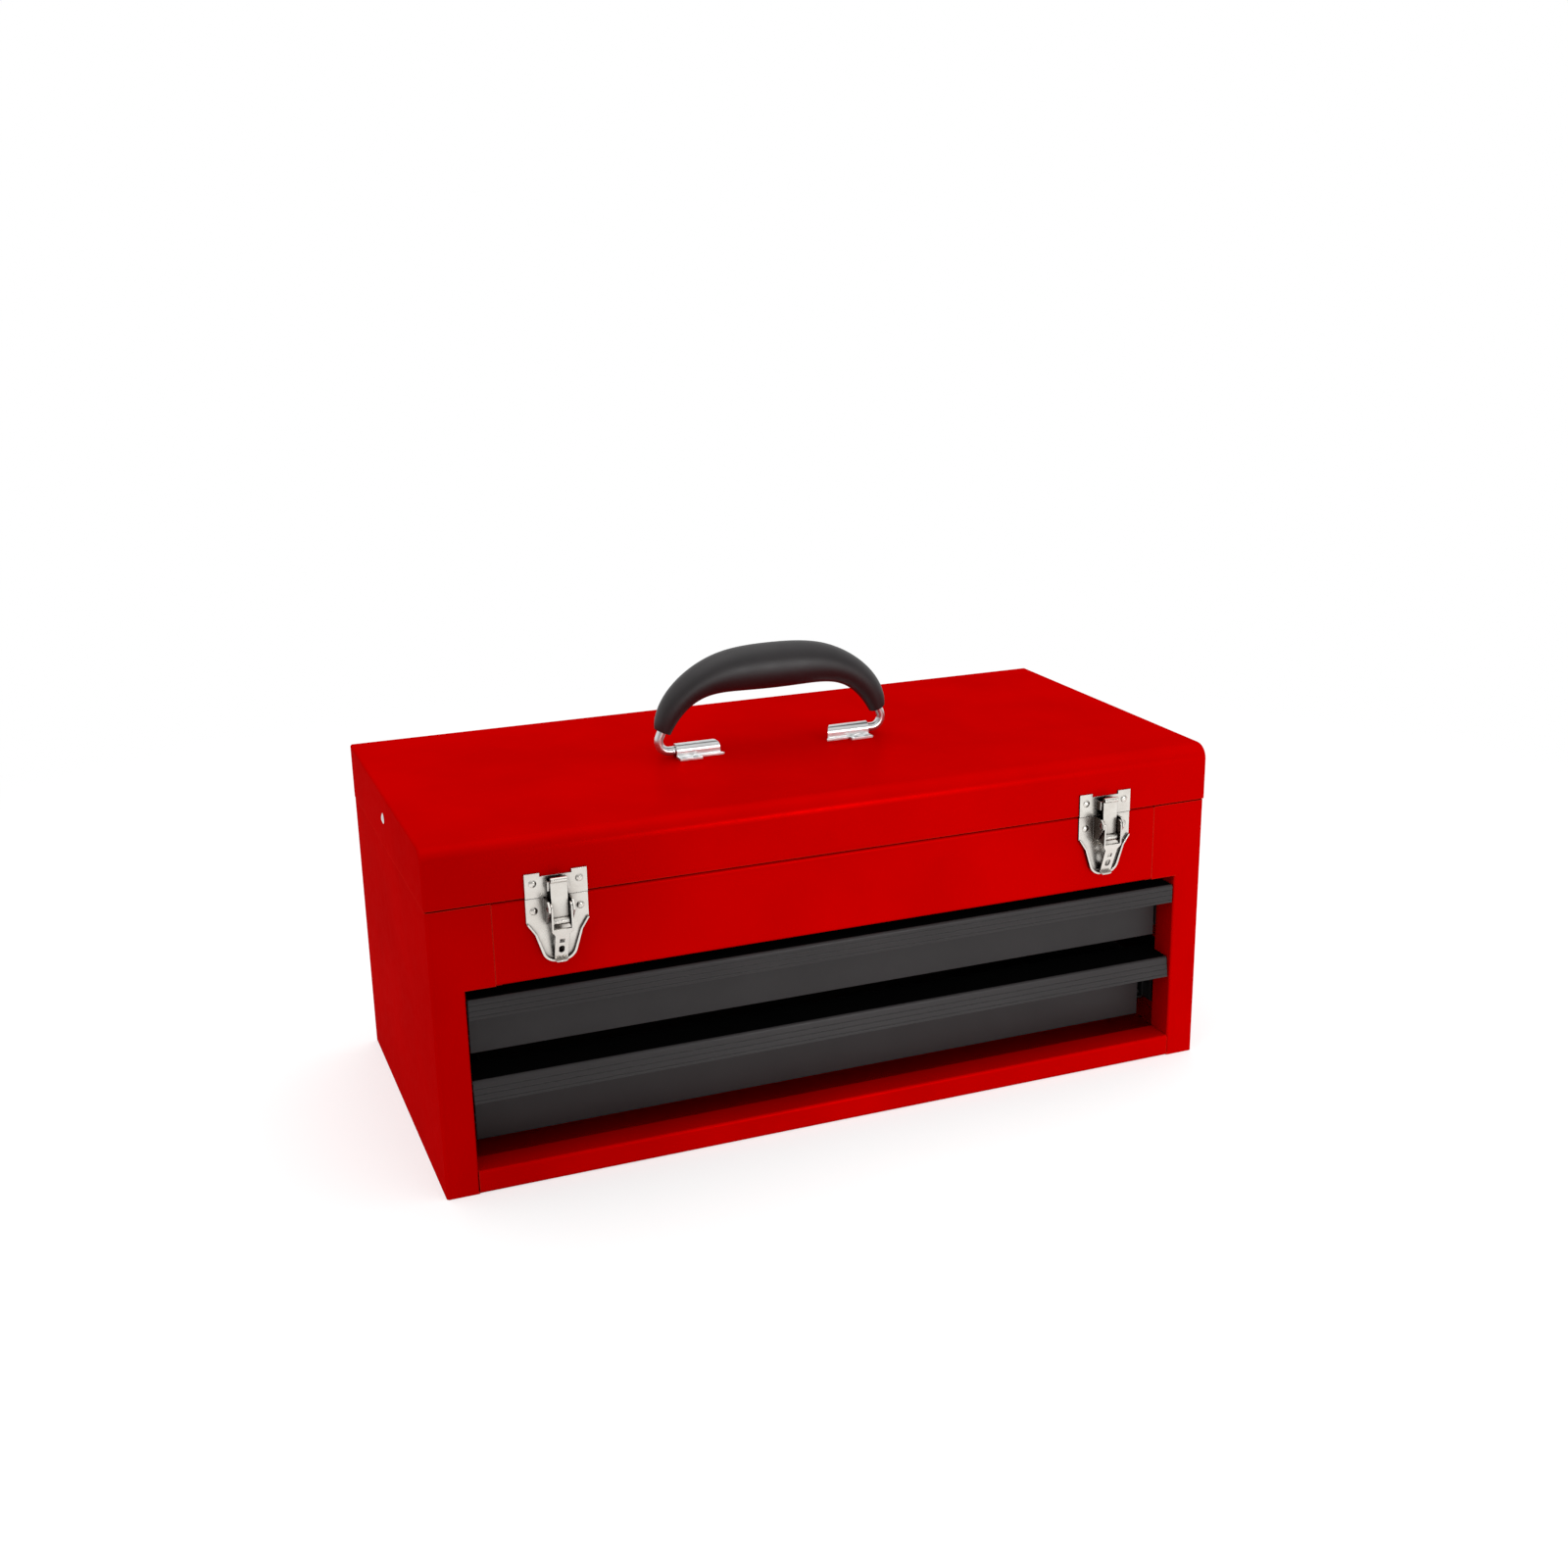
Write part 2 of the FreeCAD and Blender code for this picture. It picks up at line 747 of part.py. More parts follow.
def latch_placed(shape, side):
    moved = shape.copy()
    moved.translate(V(side * latch_offset, 0, 0))
    return moved


def latch_outline(inset):
    """Front view of the base plate: straight sides, then a waist and a taper to a round tip."""
    half = latch_half_width - inset
    waist = latch_waist_half - inset
    tip = latch_tip_radius - inset
    low = latch_tip + inset
    return [(half, latch_top), (half, latch_shoulder), (waist, latch_waist), (tip, low), (-tip, low),
            (-waist, latch_waist), (-half, latch_shoulder), (-half, latch_top)], [0, 0, 0, tip, tip, 0, 0, 0]


def ear_rivet_hole(radius):
    centre_y, centre_z = latch_point(lever_pivot_reach, lever_pivot_height)
    return rod(V(-latch_half_width, centre_y, centre_z), V(latch_half_width, centre_y, centre_z), radius)


def base_ear_faces():
    inner = lever_half_width() + latch_side_gap
    return inner, inner + latch_plate


def lever_half_width():
    return link_half_width + link_side_gap + lever_sheet


def latch_base():
    """Pressed base plate with a raised rim round the taper and two pivot ears."""
    outer_points, outer_radii = latch_outline(0)
    back = plate(outer_points, "xz", front_y - latch_plate, front_y, outer_radii)
    tray = plate(outer_points, "xz", front_y - latch_rim, front_y, outer_radii)
    inner_points, inner_radii = latch_outline(latch_plate)
    hollow = plate(inner_points, "xz", front_y - latch_rim - overrun, front_y - latch_plate, inner_radii)
    above = box(-latch_half_width - overrun, latch_half_width + overrun, front_y - latch_rim - overrun,
                front_y, latch_shoulder, latch_top + overrun)
    rim = tray.cut([hollow, above])
    ear_inner, ear_outer = base_ear_faces()
    foot = latch_top - base_ear_drop
    side_view = [latch_point(0, foot - base_ear_corner), latch_point(0, latch_top),
                 latch_point(base_ear_reach - base_ear_corner, latch_top),
                 latch_point(base_ear_reach, latch_top - base_ear_corner),
                 latch_point(base_ear_reach, foot + base_ear_slope),
                 latch_point(base_ear_slope, foot - base_ear_corner)]
    ear = plate(side_view, "yz", ear_inner, ear_outer)
    base = join([back, rim, ear, mirrored(ear)])
    return base.cut(ear_rivet_hole(lever_pivot_radius))


def latch_catch():
    """Strike plate on the lid's front with an upturned hook between two cheeks."""
    face = front_y - lid_overhang
    half = latch_half_width
    notch = catch_hook_half + lever_sheet + catch_notch_margin
    top = catch_base + catch_height
    notch_top = top - catch_notch_depth
    wings = [(half, catch_base), (half, top), (notch, top), (notch, notch_top),
             (-notch, notch_top), (-notch, top), (-half, top), (-half, catch_base)]
    back = plate(wings, "xz", face - latch_plate, face)
    hook_path = [(face - latch_plate / 2, catch_hook_base), (front_y - catch_hook_reach, catch_hook_base),
                 (front_y - catch_hook_reach, catch_hook_top)]
    hook = folded(hook_path, latch_plate, bend, "yz", -catch_hook_half, catch_hook_half)
    cheek = box(catch_hook_half, catch_hook_half + lever_sheet, front_y - catch_hook_reach,
                face - latch_plate / 2, catch_hook_base, catch_hook_top)
    return join([back, hook, cheek, mirrored(cheek)])


def latch_lever():
    """Lever: two ears on the pivot and a tongue that slopes down to the plate."""
    pivot_y, pivot_z = latch_point(lever_pivot_reach, lever_pivot_height)
    pin_y, pin_z = latch_point(link_pivot_reach, link_pivot_height)
    top_y, top_z = latch_point(lever_pivot_reach + tongue_top_proud, link_pivot_height - tongue_top_drop)
    end_y, end_z = latch_point(tongue_end_reach, tongue_end_height)
    outer = lever_half_width()
    inner = outer - lever_sheet
    cheek_end = link_pivot_height - lever_cheek_drop
    cheek_y = end_y + (top_y - end_y) * (cheek_end - end_z) / (top_z - end_z)
    side_view = [(pivot_y - lever_ear_radius, pivot_z), (top_y, top_z), (cheek_y, cheek_end),
                 (pin_y + lever_ear_radius, pin_z), (pivot_y + lever_ear_radius, pivot_z)]
    ear = join([plate(side_view, "yz", inner, outer),
                rod(V(inner, pivot_y, pivot_z), V(outer, pivot_y, pivot_z), lever_ear_radius),
                rod(V(inner, pin_y, pin_z), V(outer, pin_y, pin_z), lever_ear_radius)])
    tongue = folded([(end_y - tongue_lip, end_z - tongue_lip / 2), (end_y, end_z), (top_y, top_z)],
                    tongue_sheet, 0, "yz", -outer, outer)
    tip = tongue_end_half_width
    tip_low = tongue_end_height - tongue_lip
    neck = cheek_end - tongue_shoulder_drop
    shape = [(outer, link_pivot_height), (outer, cheek_end), (tongue_half_width, neck), (tip, tip_low),
             (-tip, tip_low), (-tongue_half_width, neck), (-outer, cheek_end), (-outer, link_pivot_height)]
    cut_front = front_y - base_ear_reach - overrun
    outline = plate(shape, "xz", cut_front, front_y, [0, 0, 0, tip / 2, tip / 2, 0, 0, 0])
    half = padlock_slot_width / 2
    low = end_z + padlock_slot_rise
    high = low + padlock_slot_height
    slot = plate([(half, low), (half, high), (-half, high), (-half, low)], "xz", cut_front, front_y,
                 [half * padlock_slot_round_share] * 4)
    hole_low = high + staple_hole_gap
    hole = box(-staple_hole_width / 2, staple_hole_width / 2, cut_front, front_y,
               hole_low, hole_low + staple_hole_height)
    lever = join([ear, mirrored(ear), tongue.common(outline).cut([slot, hole])])
    lever = lever.cut(ear_rivet_hole(lever_pivot_radius + latch_pin_fit))
    return lever.cut(rod(V(-outer, pin_y, pin_z), V(outer, pin_y, pin_z), link_pivot_radius))


def latch_link():
    """Draw link: a knuckle on the lever's pin and a strap with a rolled top edge."""
    pin_y, pin_z = latch_point(link_pivot_reach, link_pivot_height)
    inner_reach = catch_hook_reach + link_hook_gap
    outer_reach = inner_reach + link_sheet
    roll_z = catch_hook_top + link_top_rise - link_roll_radius
    strap = box(-link_half_width, link_half_width, front_y - outer_reach, front_y - inner_reach,
                link_pivot_height, roll_z)
    knuckle = rod(V(-link_half_width, pin_y, pin_z), V(link_half_width, pin_y, pin_z), link_knuckle_radius)
    roll_y = front_y - inner_reach - link_roll_radius
    roll = rod(V(-link_half_width, roll_y, roll_z), V(link_half_width, roll_y, roll_z), link_roll_radius)
    link = join([strap, knuckle, roll])
    return link.cut(rod(V(-latch_half_width, pin_y, pin_z), V(latch_half_width, pin_y, pin_z),
                        link_pivot_radius + latch_pin_fit))


def latch_link_pin():
    pin_y, pin_z = latch_point(link_pivot_reach, link_pivot_height)
    half = lever_half_width()
    return rod(V(-half, pin_y, pin_z), V(half, pin_y, pin_z), link_pivot_radius)


def latch_pivot_rivets():
    """Short pivot rivets, one through each pair of ears."""
    pivot_y, pivot_z = latch_point(lever_pivot_reach, lever_pivot_height)
    start = lever_half_width() - lever_sheet
    shank = [(lever_pivot_radius, base_ear_faces()[1] - start)]
    head = (latch_rivet_head_radius, latch_rivet_head_height)
    rivet = turned(V(start, pivot_y, pivot_z), V(1, 0, 0), shank, None, head)
    return [latch_placed(piece, side) for side in (-1, 1) for piece in (rivet, mirrored(rivet))]


def latch_rivet_places(height, face):
    """Two rivets in each latch plate; face is the plate's front."""
    return [V(side * latch_offset + place, face, height)
            for side in (-1, 1) for place in (-latch_rivet_offset, latch_rivet_offset)]


def latch_plate_rivets(places):
    """Rivets through a latch plate and the sheet behind it."""
    head = (latch_rivet_head_radius, latch_rivet_head_height)
    shank = [(latch_rivet_radius, latch_plate + sheet)]
    return [turned(place, V(0, 1, 0), shank, head, head) for place in places]


# Bail handle

def handle_bracket(side):
    """Bracket on the lid: a flat foot and a half-round knuckle over the wire's end."""
    inner = handle_wire_radius + handle_wire_fit
    outer = inner + handle_bracket_sheet
    low = lid_top
    x0 = bracket_outer - bracket_front_width
    x1 = bracket_outer
    foot_front = handle_y - bracket_front_reach
    foot = box(x0, x1, foot_front, handle_y - inner, low, low + handle_bracket_sheet)
    cover = join([rod(V(x0, handle_y, handle_z), V(x1, handle_y, handle_z), outer),
                  box(x0, x1, handle_y - outer, handle_y + outer, low, handle_z)])
    start = x0 - overrun
    end = x1 + overrun
    bore = join([rod(V(start, handle_y, handle_z), V(end, handle_y, handle_z), inner),
                 box(start, end, handle_y - inner, handle_y + inner, low - overrun, handle_z)])
    plan = plate([(x1, foot_front), (x1, handle_y + outer), (x1 - bracket_back_width, handle_y + outer),
                  (x0, foot_front)], "xy", low - overrun, handle_z + outer + overrun)
    tab = box(x1 - bracket_tab_width, x1, foot_front - bracket_tab_reach, foot_front,
              low, low + handle_bracket_sheet)
    return on_side(join([join([foot, cover.cut(bore)]).common(plan), tab]), side)


def handle_bracket_rivet_places():
    """Two rivets in each bracket's tab, on the lid's top face."""
    y = handle_y - bracket_front_reach - bracket_tab_reach + bracket_rivet_setback
    return [V(side * x, y, lid_top) for side in (-1, 1)
            for x in (bracket_outer - bracket_tab_width + bracket_rivet_inset,
                      bracket_outer - bracket_rivet_inset)]


def handle_bracket_rivets():
    head = (bracket_rivet_head_radius, bracket_rivet_head_height)
    shank = [(bracket_rivet_radius, sheet + handle_bracket_sheet)]
    return [turned(place - V(0, 0, sheet), V(0, 0, 1), shank, head, head)
            for place in handle_bracket_rivet_places()]


def handle_path():
    """Centre line of the wire, seen from the front: straights joined by tangent arcs."""
    def place(x, rise):
        return V(x, handle_y, handle_z + rise)

    def on_circle(centre, radius, angle):
        return (centre[0] + radius * math.cos(angle), centre[1] + radius * math.sin(angle))

    bend_centre = (wire_bend_centre_offset, wire_bend_radius)
    start = (wire_bend_centre_offset - wire_end_length, 0)
    low = (wire_bend_centre_offset, 0)
    mid = on_circle(bend_centre, wire_bend_radius, (wire_lean - math.pi / 2) / 2)
    out = on_circle(bend_centre, wire_bend_radius, wire_lean)
    shoulder = (out[0] - wire_leg_length * math.sin(wire_lean),
                out[1] + wire_leg_length * math.cos(wire_lean))
    radius = (wire_top_rise - shoulder[1]) / (1 - math.sin(wire_lean))
    arch = (shoulder[0] - radius * math.cos(wire_lean), wire_top_rise - radius)
    arch_mid = on_circle(arch, radius, (wire_lean + math.pi / 2) / 2)
    arch_top = (arch[0], wire_top_rise)
    edges = []

    def right_half(sign):
        line_a = Part.makeLine(place(sign * start[0], start[1]), place(sign * low[0], low[1]))
        bend_a = Part.Arc(place(sign * low[0], low[1]), place(sign * mid[0], mid[1]),
                          place(sign * out[0], out[1])).toShape()
        line_b = Part.makeLine(place(sign * out[0], out[1]), place(sign * shoulder[0], shoulder[1]))
        bend_b = Part.Arc(place(sign * shoulder[0], shoulder[1]), place(sign * arch_mid[0], arch_mid[1]),
                          place(sign * arch_top[0], arch_top[1])).toShape()
        return [line_a, bend_a, line_b, bend_b]

    edges.extend(right_half(-1))
    edges.append(Part.makeLine(place(-arch_top[0], arch_top[1]), place(arch_top[0], arch_top[1])))
    edges.extend(right_half(1)[::-1])
    return Part.Wire(Part.__sortEdges__(edges))


def handle_rod(radius):
    path = handle_path()
    start = V(wire_end_length - wire_bend_centre_offset, handle_y, handle_z)
    section = Part.Wire(Part.makeCircle(radius, start, V(1, 0, 0)))
    return path.makePipeShell([section], True, False)


def grip_stations():
    """Stations across the whole grip: place along X, rise, half height, half width."""
    span = wire_widest - grip_end_inset
    rise = wire_top_rise + grip_over_wire
    half = [(span * a, rise * b, grip_half_height * c, grip_half_width * d)
            for a, b, c, d in grip_station_shares]
    return [(-x, z, h, w) for x, z, h, w in half[:0:-1]] + half


def handle_grip():
    """Moulded grip: egg-shaped sections that swell in the middle and taper to the ends."""
    stations = grip_stations()
    sections = []
    for i, (x, rise, half_height, half_width_here) in enumerate(stations):
        before = stations[max(i - 1, 0)]
        after = stations[min(i + 1, len(stations) - 1)]
        along = V(after[0] - before[0], 0, after[1] - before[1])
        along.normalize()
        up = V(-along.z, 0, along.x)
        centre = V(x, handle_y, handle_z + rise)
        across = V(0, 1, 0)
        major = up if half_height >= half_width_here else across
        high = max(half_height, half_width_here)
        small = min(half_height, half_width_here)
        minor = along.cross(major)
        ellipse = Part.Ellipse(centre + major * high, centre + minor * small, centre)
        sections.append(Part.Wire(ellipse.toShape()))
    body = Part.makeLoft(sections, True, False)
    return body.cut(handle_rod(handle_wire_radius + handle_wire_fit))


# Lid stays

def stay_planes():
    """Inner and outer face of the lid link, then of the body link, out from the middle."""
    lid_outer = side_in - sheet - stay_gap
    lid_inner = lid_outer - stay_sheet
    body_outer = lid_inner - stay_gap
    return lid_outer, lid_inner, body_outer, body_outer - stay_sheet


def stay_points():
    """Lid pivot, knee and body pivot in side view, with the box shut."""
    lid = (hinge_y - stay_lid_reach, lid_base + stay_lid_rise)
    body = (hinge_y - stay_body_reach, well_floor_z + sheet + stay_body_rise)
    knee = (body[0] + lid[0] - hinge_y, body[1] + lid[1] - hinge_z)
    return lid, knee, body


def stay_bar(start, end, inner, outer):
    """Flat bar with round ends between two pivots."""
    a = V(inner, start[0], start[1])
    b = V(inner, end[0], end[1])
    along = b - a
    along.normalize()
    side = V(0, -along.z, along.y) * stay_half_width
    edges = [Part.makeLine(a + side, b + side),
             Part.Arc(b + side, b + along * stay_half_width, b - side).toShape(),
             Part.makeLine(b - side, a - side),
             Part.Arc(a - side, a - along * stay_half_width, a + side).toShape()]
    return Part.Face(Part.Wire(edges)).extrude(V(outer - inner, 0, 0))


def pivot_hole(point, radius):
    start = V(side_in - return_depth, point[0], point[1])
    return rod(start, V(half_width + overrun, point[0], point[1]), radius)


def stay_lid_link(side):
    lid, knee = stay_points()[:2]
    lid_outer, lid_inner = stay_planes()[:2]
    bar = stay_bar(knee, lid, lid_inner, lid_outer)
    loose = stay_pin_radius + stay_pin_fit
    return on_side(bar.cut([pivot_hole(knee, loose), pivot_hole(lid, loose)]), side)


def stay_body_link(side):
    knee, body = stay_points()[1:]
    body_outer, body_inner = stay_planes()[2:]
    bar = stay_bar(knee, body, body_inner, body_outer)
    return on_side(bar.cut([pivot_hole(knee, stay_pin_radius),
                            pivot_hole(body, stay_pin_radius + stay_pin_fit)]), side)


def stay_lid_rivet_places():
    """On the lid's outer side faces."""
    lid = stay_points()[0]
    return [V(side * (half_width + lid_overhang), lid[0], lid[1]) for side in (-1, 1)]


def stay_lid_rivets():
    """Rivet through the lid's side wall, with a collar that spaces the link off it."""
    lid_outer, lid_inner = stay_planes()[:2]
    wall_in = half_width + lid_overhang - sheet
    neck = lid_outer - lid_inner + stay_pin_fit + stay_pin_fit
    collar = wall_in - lid_outer - stay_pin_fit
    steps = [(stay_pin_radius, neck), (stay_collar_radius, collar), (stay_pin_radius, sheet)]
    head = (stay_head_radius, stay_head_height)
    return [turned(place - outward(place) * (neck + collar + sheet), outward(place), steps, head, head)
            for place in stay_lid_rivet_places()]


def stay_body_studs():
    """Shouldered stud welded to the inside of the side wall."""
    body = stay_points()[2]
    body_outer, body_inner = stay_planes()[2:]
    end = body_inner - stay_pin_fit
    collar_end = body_outer + stay_pin_fit
    steps = [(stay_pin_radius, collar_end - end), (stay_collar_radius, side_in - collar_end)]
    stud = turned(V(end, body[0], body[1]), V(1, 0, 0), steps, (stay_head_radius, stay_head_height))
    return [on_side(stud, side) for side in (-1, 1)]


def stay_knee_rivets():
    knee = stay_points()[1]
    planes = stay_planes()
    head = (stay_head_radius, stay_knee_head_height)
    steps = [(stay_pin_radius, planes[0] + stay_pin_fit - planes[3])]
    rivet = turned(V(planes[3], knee[0], knee[1]), V(1, 0, 0), steps, head, head)
    return [on_side(rivet, side) for side in (-1, 1)]


# Assembly: every piece at its place in the box, with the holes that its fasteners fill

def build():
    os.makedirs("parts", exist_ok=True)
    across = V(post_width, 0, 0)
    deep = V(0, post_width, 0)
    plate_face = front_y - latch_plate
    base_places = latch_rivet_places(latch_top - latch_base_rivet_drop, plate_face)
    catch_places = latch_rivet_places(catch_base + latch_catch_rivet_rise, plate_face - lid_overhang)
    base_holes = holes(base_places, deep, latch_rivet_radius)
    catch_holes = holes(catch_places, deep, latch_rivet_radius)
    bracket_holes = holes(handle_bracket_rivet_places(), V(0, 0, post_width), bracket_rivet_radius)
    stay_holes = holes(stay_lid_rivet_places(), across, stay_pin_radius)

    write("bottom_pan", bottom_pan())
    write("back_panel", back_panel())
    write("front_panel", front_panel().cut(base_holes))
    write("well_floor", well_floor())
    write("lid_shell", lid_shell().cut(catch_holes + bracket_holes + stay_holes))
    write("hinge_body_leaf", hinge_leaf(0, -1))
    write("hinge_lid_leaf", hinge_leaf(1, 1))
    write("hinge_pin", hinge_pin())

    for side, name in ((-1, "left"), (1, "right")):
        write(name + "_side_panel", side_panel(side))
        write("latch_base_" + name, latch_placed(latch_base(), side).cut(base_holes))
        write("latch_catch_" + name, latch_placed(latch_catch(), side).cut(catch_holes))
        write("latch_lever_" + name, latch_placed(latch_lever(), side))
        write("latch_link_" + name, latch_placed(latch_link(), side))
        write("latch_link_pin_" + name, latch_placed(latch_link_pin(), side))
        write("handle_bracket_" + name, handle_bracket(side).cut(bracket_holes))
        write("stay_lid_link_" + name, stay_lid_link(side))
        write("stay_body_link_" + name, stay_body_link(side))

    for drawer, level in ((upper, "upper"), (lower, "lower")):
        fixed_holes = holes(bracket_rivet_places(drawer), across, slide_rivet_radius)
        moving_holes = holes(drawer_rivet_places(drawer), across, slide_rivet_radius)
        for side, name in ((-1, "left"), (1, "right")):
            write(level + "_slide_bracket_" + name, slide_bracket(drawer, side).cut(fixed_holes))
            write(level + "_slide_outer_" + name, outer_member(drawer, side).cut(fixed_holes))
            write(level + "_slide_inner_" + name, inner_member(drawer, side).cut(moving_holes))
            write(level + "_slide_cage_" + name, slide_cage(drawer, side))
        write(level + "_drawer_tray", drawer_tray(drawer).cut(moving_holes))
        write(level + "_drawer_front", drawer_front(drawer))
        write(level + "_drawer_rivets", Part.makeCompound(drawer_rivets(drawer)))
        write(level + "_slide_balls", slide_balls(drawer))

    write("slide_bracket_rivets", Part.makeCompound(bracket_rivets(upper) + bracket_rivets(lower)))
    write("latch_base_rivets", Part.makeCompound(latch_plate_rivets(base_places)))
    write("latch_catch_rivets", Part.makeCompound(latch_plate_rivets(catch_places)))
    write("latch_pivot_rivets", Part.makeCompound(latch_pivot_rivets()))
    write("handle_bracket_rivets", Part.makeCompound(handle_bracket_rivets()))
    write("handle_wire", handle_rod(handle_wire_radius))
    write("handle_grip", handle_grip())
    write("stay_lid_rivets", Part.makeCompound(stay_lid_rivets()))
    write("stay_body_studs", Part.makeCompound(stay_body_studs()))
    write("stay_knee_rivets", Part.makeCompound(stay_knee_rivets()))


build()
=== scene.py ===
import bpy
import math
from mathutils import Matrix, Vector

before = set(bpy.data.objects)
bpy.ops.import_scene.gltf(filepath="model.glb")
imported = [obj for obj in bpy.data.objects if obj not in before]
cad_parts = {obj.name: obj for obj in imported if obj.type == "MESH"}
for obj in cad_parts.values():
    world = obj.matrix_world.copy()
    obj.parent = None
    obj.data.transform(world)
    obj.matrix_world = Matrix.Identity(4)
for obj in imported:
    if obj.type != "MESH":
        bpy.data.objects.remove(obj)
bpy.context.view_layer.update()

# View: a three-quarter look down on the front, with the left side just in sight.

view_place = Vector((-0.42018, -1.10140, 0.54785))
view_ahead = Vector((0.34732676, 0.8921074, -0.28897839))
view_up = Vector((0.12232939, 0.26242605, 0.9571667))
lens_mm = 41.83
sensor_mm = 36.0
nearest_view = 0.01

bpy.ops.object.select_all(action="DESELECT")
bpy.ops.object.camera_add()
camera = bpy.context.object
camera.name = "camera"
camera.data.sensor_width = sensor_mm
camera.data.lens = lens_mm
camera.data.clip_start = nearest_view
turn = Matrix((view_ahead.cross(view_up), view_up, -view_ahead)).transposed().to_4x4()
camera.matrix_world = Matrix.Translation(view_place) @ turn
bpy.context.scene.camera = camera
bpy.context.scene.view_settings.view_transform = "Standard"

# Room: a wide pale floor under a white sky. The sky is full white to the eye and weaker as a
# light, so that the lamps shape the box. A grey studio wall stands low down behind the
# viewer, seen but not lighting the box.


def node(tree, kind, links=None, **settings):
    """Adds one shader node; links gives its inputs, each a value or another node's output."""
    made = tree.nodes.new("ShaderNode" + kind)
    for key, value in settings.items():
        setattr(made, key, value)
    for key, value in (links or {}).items():
        if isinstance(value, bpy.types.NodeSocket):
            tree.links.new(value, made.inputs[key])
        else:
            made.inputs[key].default_value = value
    return made


def seen_directly(tree):
    """1 for what the eye sees straight, mirrored or through glass, and 0 for scattered light."""
    path = node(tree, "LightPath")
    sharp = node(tree, "Math", {0: path.outputs["Is Camera Ray"], 1: path.outputs["Is Glossy Ray"]},
                 operation="MAXIMUM")
    return node(tree, "Math", {0: sharp.outputs[0], 1: path.outputs["Is Transmission Ray"]},
                operation="MAXIMUM").outputs[0]


sky_light = 0.90
studio_grey = 0.42
wall_sides = (-0.1, -0.5)
wall_top = (0.8, 0.4)
world = bpy.data.worlds.new("white_room")
world.use_nodes = True
bpy.context.scene.world = world
sky = world.node_tree
seen = seen_directly(sky)
strength = node(sky, "MapRange", {"Value": seen, "To Min": sky_light, "To Max": 1.0})
sky.links.new(strength.outputs[0], sky.nodes["Background"].inputs["Strength"])
way = node(sky, "SeparateXYZ", {"Vector": node(sky, "TexCoord").outputs["Generated"]})
behind = node(sky, "MapRange", {"Value": way.outputs["Y"], "From Min": wall_sides[0],
                                "From Max": wall_sides[1]}, interpolation_type="SMOOTHSTEP")
low_down = node(sky, "MapRange", {"Value": way.outputs["Z"], "From Min": wall_top[0],
                                  "From Max": wall_top[1]}, interpolation_type="SMOOTHSTEP")
wall = node(sky, "Math", {0: behind.outputs[0], 1: low_down.outputs[0]}, operation="MULTIPLY")
wall_seen = node(sky, "Math", {0: wall.outputs[0], 1: seen}, operation="MULTIPLY")
studio = node(sky, "ValToRGB", {"Fac": wall_seen.outputs[0]})
studio.color_ramp.elements[0].color = (1, 1, 1, 1)
studio.color_ramp.elements[1].color = (studio_grey, studio_grey, studio_grey, 1)
sky.links.new(studio.outputs["Color"], sky.nodes["Background"].inputs["Color"])

floor_size = 60.0
floor_drop = 0.0003
floor_white = 0.62
floor_glow = 0.50
floor_fade_start = 0.42
floor_fade_end = 1.1
bpy.ops.object.select_all(action="DESELECT")
bpy.ops.mesh.primitive_plane_add(size=floor_size, location=(0, 0, -floor_drop))
floor = bpy.context.object
floor.name = "floor"
paper = bpy.data.materials.new("floor_paper")
paper.use_nodes = True
tree = paper.node_tree
tree.nodes.remove(tree.nodes["Principled BSDF"])
chalk = node(tree, "BsdfDiffuse", {"Color": (floor_white, floor_white, floor_white, 1)})
glow_level = node(tree, "Math", {0: seen_directly(tree), 1: floor_glow}, operation="MULTIPLY")
glow = node(tree, "Emission", {"Color": (1, 1, 1, 1), "Strength": glow_level.outputs[0]})
both = node(tree, "AddShader", {0: chalk.outputs[0], 1: glow.outputs[0]})
far = node(tree, "VectorMath", {0: node(tree, "TexCoord").outputs["Object"]}, operation="LENGTH")
faded = node(tree, "MapRange", {"Value": far.outputs["Value"], "From Min": floor_fade_start,
                                "From Max": floor_fade_end}, interpolation_type="SMOOTHSTEP")
fade = node(tree, "Math", {0: faded.outputs[0], 1: seen_directly(tree)}, operation="MULTIPLY")
white = node(tree, "Emission", {"Color": (1, 1, 1, 1), "Strength": 1.0})
paper_look = node(tree, "MixShader", {0: fade.outputs[0], 1: both.outputs[0], 2: white.outputs[0]})
tree.links.new(paper_look.outputs[0], tree.nodes["Material Output"].inputs["Surface"])
floor.data.materials.append(paper)

# Lamps: a broad soft box overhead and a soft-edged spot from the front right, whose edge
# crosses the left quarter of the front.


def lamp_towards(name, kind, place, aim, watts):
    """A lamp at a place, turned to face another."""
    bpy.ops.object.select_all(action="DESELECT")
    bpy.ops.object.light_add(type=kind, location=place)
    lamp = bpy.context.object
    lamp.name = name
    lamp.data.energy = watts
    lamp.rotation_euler = (Vector(aim) - Vector(place)).to_track_quat("-Z", "Y").to_euler()
    return lamp.data


overhead_place = (0.0, 0.1, 2.2)
overhead_aim = (0.0, 0.0, 0.1)
overhead_size = 1.8
overhead_watts = 8.0
overhead = lamp_towards("overhead_lamp", "AREA", overhead_place, overhead_aim, overhead_watts)
overhead.shape = "SQUARE"
overhead.size = overhead_size

spot_place = (0.45, -1.5, 0.35)
spot_aim = (0.17, -0.124, 0.10)
spot_watts = 30.0
spot_degrees = 27.0
spot_edge = 0.45
spot_radius = 0.12
spot = lamp_towards("front_right_spot", "SPOT", spot_place, spot_aim, spot_watts)
spot.spot_size = math.radians(spot_degrees)
spot.spot_blend = spot_edge
spot.shadow_soft_size = spot_radius

